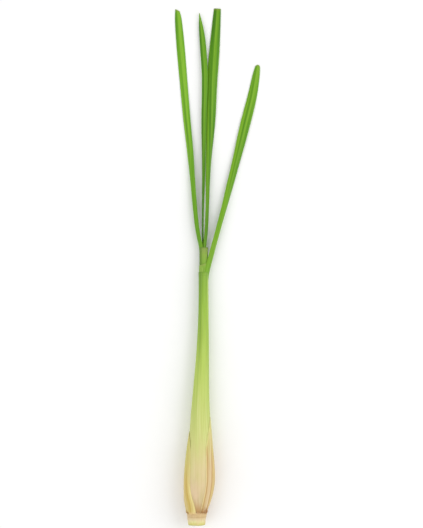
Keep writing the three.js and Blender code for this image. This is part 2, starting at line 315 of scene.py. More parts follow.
def collarSkin():
    # the second sheath between the collars, greyer towards its top edge
    look = {
        "from": 192.0, "to": 211.0,
        "heights": [
            (0.0, paint(114, 158, 42)), (0.45, paint(126, 166, 52)),
            (0.8, paint(134, 166, 60)), (1.0, paint(132, 156, 68)),
        ],
        "lines": (46.0, 0.03, 0.0, 4.0, 0.6),
        "furrow": paint(186, 196, 120), "furrowOn": (0.5, 0.28, 0.5),
        "pale": paint(180, 204, 112), "paleOn": (0.52, 0.74, 0.3),
        "edge": paint(96, 126, 44), "edgeOn": (209.9, 210.7, 0.5),
        # painted shade on the left side of the collar
        "leftShade": paint(84, 122, 24), "leftShadeOn": (-11.0, -13.0, 0.7),
        "gloss": (0.5, 0.38), "depth": 0.08,
    }
    material, tree, shader = newFinish("collarSkin", 0.42, 0.3)
    x, y = partPlace(tree)[:2]
    colour = ramp(tree, fade(tree, y, look["from"], look["to"]), look["heights"])
    lines = drawnOut(tree, markedOn(tree, "turn"), y, *look["lines"])
    colour = tint(tree, colour, look["furrow"], lines, look["furrowOn"], mode="MULTIPLY")
    colour = tint(tree, colour, look["pale"], lines, look["paleOn"])
    colour = tint(tree, colour, look["edge"], y, look["edgeOn"])
    # painted shade: the collar darkens towards its left side
    colour = tint(tree, colour, look["leftShade"], x, look["leftShadeOn"])
    finishOff(tree, shader, colour, lines, look["gloss"], look["depth"])
    return material


def bladeSkin(name, green):
    # a leaf blade: satin green, fine lengthwise veins, pale margins and midrib
    look = {
        "grain": (3.1, 0.02, 0.0, 4.0, 0.6), "bands": (0.5, 0.009, 3.0, 2.0),
        "lightOn": [(0.4, 0.6, 1.0), (0.55, 0.75, 0.4)],
        "deepOn": [(0.46, 0.3, 0.8), (0.5, 0.3, 0.6)],
        "rib": paint(134, 180, 54), "ribOn": (0.75, 0.1, 0.42),
        "margin": paint(138, 184, 58), "marginOn": (0.9, 0.99, 0.55),
        # painted shade towards the root, where the other leaves shade the blade, fading in
        # between these heights
        "lowShadeBelow": (292.0, 226.0),
        "root": paint(132, 174, 52), "rootLong": 26.0, "rootShare": 0.5,
        "dry": paint(140, 146, 62), "dryOn": (0.988, 1.0, 0.5),
        "gloss": (0.48, 0.36), "depth": 0.07,
    }
    base, light, deep = green["base"], green["light"], green["deep"]
    material, tree, shader = newFinish(name, 0.4, 0.22)
    y = partPlace(tree)[1]
    across = markedOn(tree, "across")
    grain = drawnOut(tree, across, y, *look["grain"])
    bands = drawnOut(tree, across, y, *look["bands"])
    midrib = sums(tree, "ABSOLUTE", across)
    side = sums(tree, "ABSOLUTE", markedOn(tree, "side"))
    pale = green["paleTo"]
    colour = base
    for other, value, span in (
        (light, bands, look["lightOn"][0]), (deep, bands, look["deepOn"][0]),
        (deep, grain, look["deepOn"][1]), (light, grain, look["lightOn"][1]),
        (look["rib"], midrib, look["ribOn"]), (look["margin"], side, look["marginOn"]),
        # painted shade: the blade darkens towards its root, where the other leaves shade it
        (deep, y, (*look["lowShadeBelow"], green["lowShade"])),
        (look["root"], y, (pale, pale - look["rootLong"], look["rootShare"])),
        (look["dry"], markedOn(tree, "along"), look["dryOn"]),
    ):
        colour = tint(tree, colour, other, value, span)
    finishOff(tree, shader, colour, grain, look["gloss"], look["depth"])
    return material


paper = {
    "wide": 11.0,  # how far from the front edge the colours run
    "lines": (120.0, 0.045, 0.0, 5.0, 0.62), "patches": (14.0, 0.05), "topShare": 0.92,
    "patchOn": (0.42, 0.62, 0.5), "nerveOn": (0.48, 0.3, 0.5), "paleOn": (0.56, 0.74, 0.45),
    "nerveBelow": (74.0, 46.0), "nerveDrift": 1.6, "drift": (0.0, 0.045),
    "flapOn": (11.5, 8.5, 0.8), "footFull": (10.0, 0.75),
    "crumb": (34.0, 0.3, 2.0), "crumble": 15.0,  # how ragged the brown foot is
    "gloss": (0.7, 0.5), "depth": 0.12,
}
leftPaper = {
    "seed": 2.0, "top": paint(202, 202, 114), "topAt": (30.0, 56.0),
    "patch": paint(214, 192, 132), "nerve": paint(184, 148, 76), "pale": paint(228, 212, 148),
    "foot": paint(140, 98, 46), "footAt": 11.6, "footFrom": (4.6, 6.2),
    "flap": paint(226, 194, 142),
    "across": [
        (0.0, paint(230, 216, 146)), (0.09, paint(226, 208, 132)), (0.15, paint(212, 188, 112)),
        (0.3, paint(204, 178, 94)), (0.45, paint(206, 182, 104)), (0.65, paint(214, 194, 128)),
        (1.0, paint(212, 190, 122)),
    ],
    "nerves": [(1.7, 0.5, 0.4), (3.4, 0.6, 0.45), (5.8, 0.5, 0.35)],  # place, width, strength
}
rightPaper = {
    "seed": 7.0, "top": paint(206, 208, 126), "topAt": (44.0, 74.0),
    "patch": paint(218, 192, 148), "nerve": paint(182, 138, 80), "pale": paint(230, 214, 168),
    "foot": paint(146, 92, 44), "footAt": 15.4, "footFrom": (-0.5, 0.8),
    "flap": paint(206, 172, 118),
    "across": [
        (0.0, paint(220, 204, 142)), (0.07, paint(212, 192, 136)), (0.12, paint(198, 170, 118)),
        (0.2, paint(208, 184, 138)), (0.36, paint(220, 198, 156)), (0.5, paint(200, 168, 114)),
        (0.62, paint(206, 180, 120)), (0.8, paint(214, 192, 128)), (1.0, paint(206, 180, 122)),
    ],
    "nerves": [(1.3, 0.8, 0.85), (5.6, 0.9, 0.75), (8.6, 0.5, 0.3)],
}


def huskPaper(name, look):
    # dead outer sheath: dry paper over the base, with nerves beside its front edge
    material, tree, shader = newFinish(name, 0.6, 0.22)
    y = partPlace(tree)[1]
    turn = markedOn(tree, "turn")
    front = markedOn(tree, "fromFront")
    lines = drawnOut(tree, turn, y, *paper["lines"])
    patches = drawnOut(tree, turn, y, *paper["patches"], look["seed"], detail=3.0)
    colour = ramp(tree, fade(tree, front, 0.0, paper["wide"]), look["across"])
    colour = tint(tree, colour, look["top"], y, (*look["topAt"], paper["topShare"]))
    colour = tint(tree, colour, look["patch"], patches, paper["patchOn"])
    colour = tint(tree, colour, look["nerve"], lines, paper["nerveOn"])
    colour = tint(tree, colour, look["pale"], lines, paper["paleOn"])
    drift = drawnOut(tree, turn, y, *paper["drift"], look["seed"], detail=2.0)
    drifted = unsettle(tree, front, drift, paper["nerveDrift"])
    reach = fade(tree, y, *paper["nerveBelow"])
    for at, wide, strength in look["nerves"]:
        colour = tint(tree, colour, look["nerve"], apart(tree, drifted, at),
                      (wide, 0.0, strength), reach)
    crumb = drawnOut(tree, turn, y, *paper["crumb"])
    foot = unsettle(tree, y, crumb, paper["crumble"])
    colour = tint(tree, colour, look["flap"], y, paper["flapOn"])
    colour = tint(tree, colour, look["foot"], foot, (look["footAt"], *paper["footFull"]),
                  fade(tree, front, *look["footFrom"]))
    finishOff(tree, shader, colour, lines, paper["gloss"], paper["depth"])
    return material


def stumpFlesh():
    # the pared root end: ivory with a blush, lime at the cut's rim, ringed cut face
    look = {
        "to": 10.6,
        # the darker band about 7 mm up is painted shade just below the husks' foot
        "heights": [
            (0.0, paint(206, 200, 112)), (0.18, paint(226, 220, 156)),
            (0.4, paint(222, 204, 158)), (0.55, paint(214, 190, 144)),
            (0.66, paint(196, 168, 120)), (0.78, paint(210, 184, 134)),
            (1.0, paint(196, 162, 110)),
        ],
        "patches": (0.6, 0.34), "streaks": (0.12, 1.5), "lipNoise": (0.5, 0.75),
        "patch": paint(220, 192, 150), "patchOn": (0.42, 0.64, 0.4),
        "streak": paint(198, 162, 112), "streakOn": (0.5, 0.3, 0.4),
        "rim": paint(164, 170, 82), "rimOn": (0.8, 0.1, 0.7),
        "face": paint(238, 226, 176), "faceBelow": (0.5, 0.1), "faceOut": (0.98, 0.86),
        "ring": paint(206, 182, 122), "ringOn": (0.4, 0.62, 1.0), "rings": 11.0,
        "ringDrift": 0.16,
        "lip": paint(166, 116, 66), "lipOn": (9.0, 11.0, 0.7), "lipRagged": 5.0,
        "gloss": (0.6, 0.42), "depth": 0.16,
    }
    material, tree, shader = newFinish("stumpFlesh", 0.5, 0.3)
    place = x, y, z = partPlace(tree)
    out = markedOn(tree, "reach")
    patches = mottled(tree, place, *look["patches"])
    streak = mottled(tree, place, *look["streaks"])
    colour = ramp(tree, fade(tree, y, 0.0, look["to"]), look["heights"])
    colour = tint(tree, colour, look["patch"], patches, look["patchOn"])
    colour = tint(tree, colour, look["streak"], streak, look["streakOn"])
    colour = tint(tree, colour, look["rim"], y, look["rimOn"])
    rings = speckle(tree, stretch(tree, times(tree, out, look["rings"]),
                                  times(tree, x, look["ringDrift"]),
                                  times(tree, z, look["ringDrift"])), 1.0)
    flesh = tint(tree, look["face"], look["ring"], rings, look["ringOn"])
    face = times(tree, fade(tree, y, *look["faceBelow"]), fade(tree, out, *look["faceOut"]))
    colour = blend(tree, face, colour, flesh)
    lip = unsettle(tree, y, mottled(tree, place, *look["lipNoise"]), look["lipRagged"])
    colour = tint(tree, colour, look["lip"], lip, look["lipOn"])
    finishOff(tree, shader, colour, patches, look["gloss"], look["depth"], streak)
    return material


def liguleSkin():
    # the thin collar skin round the second sheath: green, drying at its torn edge
    look = {
        "deep": paint(116, 156, 46), "light": paint(146, 182, 76), "lightOn": (0.34, 0.66, 1.0),
        "dry": paint(150, 158, 84), "dryOn": (0.8, 1.0, 0.5),
        "lines": (0.06, 2.2), "gloss": (0.6, 0.45), "depth": 0.05,
    }
    material, tree, shader = newFinish("liguleSkin", 0.5, 0.25)
    lines = mottled(tree, partPlace(tree), *look["lines"])
    colour = tint(tree, look["deep"], look["light"], lines, look["lightOn"])
    colour = tint(tree, colour, look["dry"], markedOn(tree, "rise"), look["dryOn"])
    finishOff(tree, shader, colour, lines, look["gloss"], look["depth"])
    return material


def plainFibre(name, light, dark):
    material, tree, shader = newFinish(name, 0.7, 0.25)
    mix = mottled(tree, partPlace(tree), 1.0, 0.9, 3.0)
    colour = tint(tree, dark, light, mix, (0.35, 0.65, 1.0))
    finishOff(tree, shader, colour, mix, (0.8, 0.6), 0.05)
    return material


finishes = {
    "stemSkin": stemSkin(),
    "collarSkin": collarSkin(),
    "leftPaper": huskPaper("leftHuskPaper", leftPaper),
    "rightPaper": huskPaper("rightHuskPaper", rightPaper),
    "stumpFlesh": stumpFlesh(),
    "huskFibre": plainFibre("huskFibre", paint(216, 182, 124), paint(166, 120, 72)),
    "rootScar": plainFibre("rootScar", paint(228, 204, 156), paint(210, 178, 128)),
    "ligule": liguleSkin(),
}
print("stalk:", len(finishes), "finishes ready")


# The geometry node trees, which make the ribs, the rolled sheaths and what repeats.

def newTree(name, floats, wholes=()):
    tree = bpy.data.node_groups.new(name, "GeometryNodeTree")
    tree.interface.new_socket("Geometry", in_out="INPUT", socket_type="NodeSocketGeometry")
    for kind, names in (("Float", floats), ("Int", wholes), ("Material", ("Finish",))):
        for socketName in names:
            tree.interface.new_socket(socketName, in_out="INPUT",
                                      socket_type="NodeSocket" + kind)
    tree.interface.new_socket("Geometry", in_out="OUTPUT", socket_type="NodeSocketGeometry")
    return tree, node(tree, "NodeGroupInput"), node(tree, "NodeGroupOutput")


def named(tree, name, kind="FLOAT"):
    made = node(tree, "GeometryNodeInputNamedAttribute", {"Name": name}, data_type=kind)
    return made.outputs["Attribute"]


def endTree(tree, geometry, finish, output):
    real = node(tree, "GeometryNodeRealizeInstances", {"Geometry": geometry})
    dressed = node(tree, "GeometryNodeSetMaterial",
                   {"Geometry": real.outputs[0], "Material": finish})
    link(tree, dressed.outputs[0], output.inputs[0])


def pushed(tree, geometry, direction, lift):
    # every point moved by its lift along its direction
    offset = node(tree, "ShaderNodeVectorMath", {0: direction, "Scale": lift}, operation="SCALE")
    moved = node(tree, "GeometryNodeSetPosition",
                 {"Geometry": geometry, "Offset": offset.outputs[0]})
    return moved.outputs[0]


def onPoints(tree, given, shape, smallest, largest, length=1.0):
    # the shape on every point, aimed along the point's own direction, of a random size
    aim = node(tree, "FunctionNodeAlignRotationToVector",
               {"Vector": named(tree, "aim", "FLOAT_VECTOR")}, axis="Z")
    size = node(tree, "FunctionNodeRandomValue",
                {"Min": smallest, "Max": largest, "Seed": given.outputs["Seed"]},
                data_type="FLOAT")
    points = node(tree, "GeometryNodeMeshToPoints", {"Mesh": given.outputs["Geometry"]},
                  mode="VERTICES")
    placed = node(tree, "GeometryNodeInstanceOnPoints", {
        "Points": points.outputs[0], "Instance": shape, "Rotation": aim.outputs[0],
        "Scale": times(tree, size.outputs["Value"], length),
    })
    return placed.outputs[0]


def ribsTree():
    # raises ribs along a surface: across is the distance from its midrib
    tree, given, output = newTree("raisedRibs", ("Spacing", "Height"))
    sharpness = 1.6
    phase = sums(tree, "DIVIDE", named(tree, "across"), given.outputs["Spacing"])
    wave = sums(tree, "COSINE", times(tree, phase, 2 * math.pi))
    crest = sums(tree, "POWER", sums(tree, "MULTIPLY_ADD", wave, 0.5, 0.5), sharpness)
    lift = times(tree, times(tree, crest, named(tree, "relief")), given.outputs["Height"])
    normal = node(tree, "GeometryNodeInputNormal").outputs["Normal"]
    moved = pushed(tree, given.outputs["Geometry"], normal, lift)
    endTree(tree, moved, given.outputs["Finish"], output)
    return tree


def sheathTree():
    # sweeps a rolled, ribbed sheath round the stem's axis, and keeps it off the floor
    tree, given, output = newTree("rolledSheath", ("Lap", "Ribs", "Rib Height"), ("Sides",))
    axis = node(tree, "GeometryNodeMeshToCurve", {"Mesh": given.outputs["Geometry"]})
    upright = node(tree, "GeometryNodeSetCurveNormal", {"Curve": axis.outputs[0]}, mode="Z_UP")
    tilted = node(tree, "GeometryNodeSetCurveTilt",
                  {"Curve": upright.outputs[0], "Tilt": named(tree, "lapTilt")})
    ring = node(tree, "GeometryNodeCurvePrimitiveCircle",
                {"Resolution": given.outputs["Sides"], "Radius": 1.0}, mode="RADIUS")
    index = node(tree, "GeometryNodeInputIndex").outputs[0]
    share = sums(tree, "DIVIDE", index, given.outputs["Sides"])
    marked = node(tree, "GeometryNodeStoreNamedAttribute",
                  {"Geometry": ring.outputs[0], "Name": "turn", "Value": share},
                  data_type="FLOAT", domain="POINT")
    swept = node(tree, "GeometryNodeCurveToMesh", {
        "Curve": tilted.outputs[0], "Profile Curve": marked.outputs[0],
        "Scale": named(tree, "reach"), "Fill Caps": True,
    })
    place = node(tree, "GeometryNodeInputPosition").outputs[0]
    spoke = node(tree, "ShaderNodeVectorMath",
                 {0: place, 1: named(tree, "axisPoint", "FLOAT_VECTOR")}, operation="SUBTRACT")
    outward = node(tree, "ShaderNodeVectorMath", {0: spoke.outputs[0]}, operation="NORMALIZE")
    turn = named(tree, "turn")
    step = times(tree, sums(tree, "SUBTRACT", 0.5, turn), given.outputs["Lap"])
    phase = times(tree, times(tree, turn, given.outputs["Ribs"]), 2 * math.pi)
    wave = sums(tree, "COSINE", phase)
    crest = times(tree, sums(tree, "MULTIPLY_ADD", wave, 0.5, -0.5),
                  given.outputs["Rib Height"])
    lift = times(tree, sums(tree, "ADD", step, crest), named(tree, "relief"))
    moved = pushed(tree, swept.outputs[0], outward.outputs[0], lift)
    split = node(tree, "ShaderNodeSeparateXYZ",
                 {0: node(tree, "GeometryNodeInputPosition").outputs[0]})
    held = node(tree, "ShaderNodeCombineXYZ", {
        0: split.outputs[0], 1: split.outputs[1],
        2: sums(tree, "MAXIMUM", split.outputs[2], 0.0),
    })
    rested = node(tree, "GeometryNodeSetPosition",
                  {"Geometry": moved, "Position": held.outputs[0]})
    smooth = node(tree, "GeometryNodeSetShadeSmooth", {"Geometry": rested.outputs[0]})
    endTree(tree, smooth.outputs[0], given.outputs["Finish"], output)
    return tree


def fibresTree():
    # a bent tapering fibre on every point
    tree, given, output = newTree("tornFibres", ("Length", "Thickness", "Bend"), ("Seed",))
    line = node(tree, "GeometryNodeCurvePrimitiveLine", {"End": (0.0, 0.0, 1.0)}, mode="POINTS")
    dense = node(tree, "GeometryNodeResampleCurve", {"Curve": line.outputs[0], "Count": 6})
    share = node(tree, "GeometryNodeSplineParameter").outputs["Factor"]
    bow = times(tree, times(tree, share, share), given.outputs["Bend"])
    bent = node(tree, "GeometryNodeSetPosition", {
        "Geometry": dense.outputs[0],
        "Offset": node(tree, "ShaderNodeCombineXYZ", {0: bow}).outputs[0],
    })
    ring = node(tree, "GeometryNodeCurvePrimitiveCircle",
                {"Resolution": 4, "Radius": 1.0}, mode="RADIUS")
    taper = sums(tree, "MULTIPLY_ADD", share, -0.85, 1.0)
    slim = sums(tree, "DIVIDE", given.outputs["Thickness"], given.outputs["Length"])
    strand = node(tree, "GeometryNodeCurveToMesh", {
        "Curve": bent.outputs[0], "Profile Curve": ring.outputs[0],
        "Scale": times(tree, taper, slim), "Fill Caps": True,
    })
    placed = onPoints(tree, given, strand.outputs[0], 0.5, 1.3, given.outputs["Length"])
    endTree(tree, placed, given.outputs["Finish"], output)
    return tree


def scarsTree():
    # a low knob on every point, where a root was pared away
    tree, given, output = newTree("rootScars", ("Radius",), ("Seed",))
    knob = node(tree, "GeometryNodeMeshIcoSphere",
                {"Radius": given.outputs["Radius"], "Subdivisions": 3})
    flat = node(tree, "GeometryNodeTransform",
                {"Geometry": knob.outputs[0], "Scale": (1.0, 1.0, 0.3)})
    placed = onPoints(tree, given, flat.outputs[0], 0.6, 1.25)
    smooth = node(tree, "GeometryNodeSetShadeSmooth", {"Geometry": placed})
    endTree(tree, smooth.outputs[0], given.outputs["Finish"], output)
    return tree


trees = {"ribs": ribsTree(), "sheath": sheathTree(), "fibres": fibresTree(),
         "scars": scarsTree()}
print("stalk: geometry node trees ready")


def newMesh(name, points, faces=(), edges=(), marks=None):
    mesh = bpy.data.meshes.new(name)
    mesh.from_pydata([tuple(p) for p in points], list(edges), [tuple(f) for f in faces])
    for mark, values in (marks or {}).items():
        values = np.asarray(values, np.float32)
        vector = values.ndim == 2
        layer = mesh.attributes.new(mark, "FLOAT_VECTOR" if vector else "FLOAT", "POINT")
        layer.data.foreach_set("vector" if vector else "value", values.ravel())
    return mesh


def turnOutward(mesh):
    shape = bmesh.new()
    shape.from_mesh(mesh)
    bmesh.ops.recalc_face_normals(shape, faces=shape.faces)
    shape.to_mesh(mesh)
    shape.free()
    mesh.polygons.foreach_set("use_smooth", [True] * len(mesh.polygons))
    mesh.update()


def grow(name, mesh, tree, values, nodeName):
    # runs a tree on the mesh and keeps the result as a plain piece on the stalk
    seed = bpy.data.objects.new(name + "Seed", mesh)
    bpy.context.scene.collection.objects.link(seed)
    modifier = seed.modifiers.new("growth", "NODES")
    modifier.node_group = tree
    for item in tree.interface.items_tree:
        if item.in_out == "INPUT" and item.name in values:
            modifier[item.identifier] = values[item.name]
    bpy.context.view_layer.update()
    graph = bpy.context.evaluated_depsgraph_get()
    grown = bpy.data.meshes.new_from_object(
        seed.evaluated_get(graph), preserve_all_data_layers=True, depsgraph=graph)
    seed.modifiers.remove(modifier)
    bpy.data.objects.remove(seed)
    grown.name = name
    turnOutward(grown)
    piece = bpy.data.objects.new(name, grown)
    bpy.context.scene.collection.objects.link(piece)
    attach(piece, "root")
    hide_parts(nodeName)
    print("stalk:", name, len(grown.polygons), "faces")
    return piece


def sheetMesh(name, grid, front, back, marks, lowest=0.0):
    # closed sheet round a grid of points, front and back thick on its two sides
    rows, columns = grid.shape[:2]
    lengthwise = np.gradient(grid, axis=0)
    sideways = np.gradient(grid, axis=1)
    normal = np.cross(sideways, lengthwise)
    normal /= np.maximum(np.linalg.norm(normal, axis=2, keepdims=True), 1e-12)
    upper = (grid + normal * front[..., None]).reshape(-1, 3)
    lower = (grid - normal * back[..., None]).reshape(-1, 3)
    points = np.vstack([upper, lower])
    points[:, 2] = np.maximum(points[:, 2], lowest)
    k, i = np.meshgrid(np.arange(rows - 1), np.arange(columns - 1), indexing="ij")
    a = (k * columns + i).ravel()
    under = rows * columns
    top = np.stack([a, a + 1, a + columns + 1, a + columns], axis=1)
    faces = [top, top[:, ::-1] + under]
    left = np.arange(rows - 1) * columns
    right = left + columns - 1
    start = np.arange(columns - 1)
    end = start + (rows - 1) * columns
    for first, second in ((left, left + columns), (right + columns, right),
                          (start + 1, start), (end, end + 1)):
        faces.append(np.stack([first, second, second + under, first + under], axis=1))
    doubled = {key: np.concatenate([value.ravel()] * 2) for key, value in marks.items()}
    return newMesh(name, toPart(points), np.vstack(faces), marks=doubled)


# What all four blades share, while the leaves below give each its own sizes.

bladeForm = {
    "steps": 900,  # along the midrib while its length is measured
    "fine": 12,  # steps from one column to the next while a row is bent
    "crowdRoot": 1.25, "crowdTip": 1.3,  # rows stand closer towards both ends
    "waver": 0.012, "wavers": 31,  # of the width
    "ripple": 0.025, "ripples": 9.0, "rippleSlant": 0.5,  # of the edges
    "trimFrom": 0.97,  # where a slanted end starts
    "marginThin": 0.55, "marginFrom": 0.7, "keelWide": 0.75,
    "ribsTo": 0.82, "ribsRise": (0.02, 0.14),
}


def bothArms(arm, sign=1):
    # a whole row of a blade from the values of one arm
    return np.concatenate([sign * arm[:0:-1], arm])


def swellRow(section, halves):
    # one row across a blade: distance from the midrib, side and lift of every column
    fine = bladeForm["fine"]
    stepLength = section["width"] / 2 / (halves * fine)
    run = (np.arange(halves * fine) + 0.5) * stepLength
    turn = np.radians(section["fold"]) * np.minimum(run / section["bend"], 1)
    aside = np.concatenate([[0], np.cumsum(np.cos(turn)) * stepLength])[::fine]
    lift = np.concatenate([[0], np.cumsum(np.sin(turn)) * stepLength])[::fine]
    away = np.linspace(0, section["width"] / 2, halves + 1)
    return bothArms(away, -1), bothArms(aside, -1), bothArms(lift)


def bladeMesh(name, leaf):
    # a blade along its midrib; its two arms fold towards the hollow side
    form, keys = bladeForm, leaf["keys"]
    midrib = np.array(leaf["midrib"], float)
    y = np.linspace(midrib[0, 1], midrib[-1, 1], form["steps"])
    path = np.stack([follow(midrib[:, [1, 0]], y), y, follow(midrib[:, [1, 2]], y)], axis=1)
    lengths = np.concatenate([[0], np.cumsum(np.linalg.norm(np.diff(path, axis=0), axis=1))])
    lengths /= lengths[-1]
    shares = np.linspace(0, 1, leaf["rows"]) ** form["crowdRoot"]
    shares = 1 - (1 - shares) ** form["crowdTip"]
    spots = np.stack([np.interp(shares, lengths, path[:, c]) for c in range(3)], axis=1)
    tangents = np.gradient(spots, axis=0)
    tangents /= np.linalg.norm(tangents, axis=1, keepdims=True)
    grid = np.zeros((leaf["rows"], 2 * leaf["halves"] + 1, 3))
    across = np.zeros(grid.shape[:2])
    for k, t in enumerate(shares):
        section = {key: float(follow(keys[key], t)) for key in ("width", "fold", "bend")}
        section["width"] *= 1 + form["waver"] * math.sin(form["wavers"] * t + leaf["phase"])
        away, aside, lift = swellRow(section, leaf["halves"])
        tangent = Vector(tangents[k])
        inward = Vector((leaf["facing"], 0, 0))
        inward = (inward - tangent * inward.dot(tangent)).normalized()
        twist = math.radians(float(follow(keys["twist"], t))) * leaf["facing"]
        inward = inward * math.cos(twist) + tangent.cross(inward) * math.sin(twist)
        sideways = tangent.cross(inward)
        ripple = np.sin(form["ripples"] * t + leaf["phase"] + form["rippleSlant"] * away)
        lift = lift + form["ripple"] * ripple * np.abs(away)
        grid[k] = spots[k] + np.outer(aside, sideways) + np.outer(lift, inward)
        trim = abs(leaf["slant"]) * abs(away[0]) + leaf["slant"] * away
        grid[k] -= np.outer(smoothStep(t, form["trimFrom"], 1.0) * trim, tangent)
        across[k] = away
    edge = np.abs(across) / np.abs(across[:, -1:])
    thin = leaf["skin"] * (1 - form["marginThin"] * smoothStep(edge, form["marginFrom"], 1.0))
    keel = leaf["keel"] * np.exp(-((across / form["keelWide"]) ** 2))
    keel = keel * (1 - shares[:, None]) ** 0.5
    grid[..., 2] = np.maximum(grid[..., 2], leaf["skin"] / 2)
    ribs = 1 - smoothStep(edge, form["ribsTo"], 1.0)
    marks = {
        "across": across,
        "side": np.sign(across) * edge,
        "along": np.repeat(shares[:, None], across.shape[1], axis=1),
        "relief": ribs * smoothStep(shares, *form["ribsRise"])[:, None],
    }
    return sheetMesh(name, grid, thin / 2, thin / 2 + keel, marks)


# The root stump: a pared disc with a hollowed cut face and a ragged lip above.

stump = {
    "sides": 216, "rings": 34, "cut": 6.3, "edge": 0.6, "top": 9.3, "seed": 4,
    "faceRings": 22, "faceFrom": 0.04, "faceShare": 0.93, "edgeRings": 7,
    "faceHollow": 0.35, "faceRipple": 0.16, "faceRipples": 42,
    "knobs": [(0.16, 5, 0.0), (0.12, 9, 0.8)],  # size, count, twist for each millimetre up
    "dent": 0.05, "dents": (23, 2.1, 1.7),
    "lipHeight": 0.9, "lipTilt": 1.0, "lipSink": 0.24, "lipSkin": 0.3, "lipLowest": 0.12,
    "lipWaves": [(0.35, 7, 0.6), (0.25, 17, 0), (0.18, 31, 2)],  # size, count, start
}


def stumpRings():
    # (y, radius, share of the way out, how far up the ragged lip) of every ring
    edge, cut, top, face = (stump[key] for key in ("edge", "cut", "top", "faceShare"))
    for share in np.linspace(stump["faceFrom"], face, stump["faceRings"]):
        yield 0.0, share / face * (cut - edge), share, 0.0
    for angle in np.linspace(0, math.pi / 2, stump["edgeRings"])[1:]:
        grown = face + (1 - face) * angle / (math.pi / 2)
        yield edge * (1 - math.cos(angle)), cut - edge * (1 - math.sin(angle)), grown, 0.0
    for y in np.linspace(edge, top, stump["rings"])[1:]:
        yield y, float(follow(stem["radius"], y)), 1.0, 0.0
    rim = float(follow(stem["radius"], top))
    for climb in (0.2, 0.4, 0.6, 0.8, 1.0):
        yield top, rim - stump["lipSink"] * math.sqrt(climb), 1.0, climb
    for climb in (1.0, 0.6, 0.2, 0.0):
        yield top, rim - stump["lipSink"] - stump["lipSkin"], 1.0, climb


def stumpMesh():
    rings = list(stumpRings())
    count = stump["sides"]
    angles = np.arange(count) / count * 2 * math.pi
    lip = stump["lipHeight"] + stump["lipTilt"] * np.sin(angles)
    lip = lip + sum(size * np.sin(n * angles + start) for size, n, start in stump["lipWaves"])
    lip = np.maximum(lip, stump["lipLowest"])
    around, slope, slow = stump["dents"]
    points, shares, faces = [], [], []
    for y, out, share, climb in rings:
        knobs = sum(size * np.sin(n * angles + twist * y) for size, n, twist in stump["knobs"])
        dents = stump["dent"] * np.sin(around * angles + slope * y) * np.sin(slow * y)
        r = out + (knobs + dents) * share
        hollow = 0.0
        if y == 0.0:
            hollow = (stump["faceRipple"] * math.sin(share * stump["faceRipples"]) * (1 - share)
                      + stump["faceHollow"] * (1 - share) ** 2)
        ringY = y + hollow + climb * lip
        height = np.maximum(axisZ(ringY) + r * np.cos(angles), 0)
        points.append(np.stack([axisX(ringY) + r * np.sin(angles), ringY + 0 * r, height],
                               axis=1))
        shares.append(np.full(count, share))
    for k in range(len(rings) - 1):
        low, high = k * count, (k + 1) * count
        for i in range(count):
            j = (i + 1) % count
            faces.append((low + i, low + j, high + j, high + i))
    faces.append(tuple(range(count))[::-1])
    faces.append(tuple(range((len(rings) - 1) * count, len(rings) * count)))
    return newMesh("rootStump", toPart(np.vstack(points)), faces,
                   marks={"reach": np.concatenate(shares)})


def aroundStem(y, degrees, out):
    angle = math.radians(degrees)
    spoke = Vector((math.sin(angle), 0, math.cos(angle)))
    return Vector((float(axisX(y)), y, float(axisZ(y)))) + spoke * out, spoke


scars = {
    "count": 15, "radius": 0.62, "heights": (2.2, 7.6), "from": 62, "sweep": 236, "drift": 6,
    "sunk": 0.05, "lowest": 1.2,
}


def scarPoints():
    draw = np.random.default_rng(stump["seed"])
    points, aims = [], []
    for i in range(scars["count"]):
        y = float(draw.uniform(*scars["heights"]))
        degrees = scars["from"] + i * (scars["sweep"] / scars["count"])
        degrees += float(draw.uniform(-scars["drift"], scars["drift"]))
        out = float(follow(stem["radius"], y)) - scars["sunk"]
        spot, spoke = aroundStem(y, degrees, out)
        if spot.z < scars["lowest"]:
            continue
        points.append(spot)
        aims.append(spoke)
    return newMesh("scarSpots", toPart(points), marks={"aim": np.array(aims)})


# without a height the ribs tree only lays the finish on
grow("rootStump", stumpMesh(), trees["ribs"],
     {"Spacing": 1.0, "Height": 0.0, "Finish": finishes["stumpFlesh"]}, "root_stump")
grow("rootScars", scarPoints(), trees["scars"],
     {"Radius": scars["radius"] * mm, "Seed": stump["seed"], "Finish": finishes["rootScar"]},
     "root_stump")


# The dry sheaths: front and back edges are (height, degrees round from the top).

husks = {
    "leftHusk": {
        "node": "dry_sheath_left", "finish": "leftPaper", "start": 9.7, "end": 71.0,
        "fray": 1.0, "foot": -0.5, "flap": 0.9, "seed": 21,
        "front": [
            (9, -2), (13, -8), (18, -18), (22, -25), (29, -35), (37, -39), (46, -40),
            (60, -51), (66, -63), (71, -80),
        ],
        "back": [(9, -142), (40, -140), (58, -118), (71, -86)],
    },
    "rightHusk": {
        "node": "dry_sheath_right", "finish": "rightPaper", "start": 9.7, "end": 82.0,
        "fray": 0.9, "foot": -0.1, "flap": 0.0, "seed": 33,
        "front": [(9, 21), (18, 22), (26, 25), (50, 26), (60, 30), (72, 50), (82, 78)],
        "back": [(9, 142), (40, 140), (62, 122), (82, 86)],
    },
}
husk = {
    "rows": 190, "columns": 121, "skin": 0.2, "clear": 0.42, "hug": 0.21, "spacing": 0.55,
    "rib": 0.08, "ribsFrom": (0.5, 5),
    "tears": [(7, 1), (1.6, 0.3), (0.6, 0.12)],  # along the edges: length, share
    "rags": [(17, 0.45), (5, 0.2)],  # along the foot: degrees, size
    "flapAt": -20, "flapWide": 17, "footLong": 7,
    "spread": 0.34, "spreadOver": (9.5, 13),
    "crumple": 0.07, "crumples": (19, 0.9), "crumpleOver": (11, 24),
    "buckle": 0.05, "buckles": (7, 0.12), "calmTo": (0.3, 2),
    "tuck": 1.1, "topTuck": 14, "marginThin": 0.6, "marginWide": 0.3,
}


def tornEdge(pairs, ys, fray, seed):
    # degrees round of one edge at every height, roughened by the tears
    rough = sum(size * roughLine(ys, step, seed + k)
                for k, (step, size) in enumerate(husk["tears"]))
    return follow(pairs, ys) + fray * rough


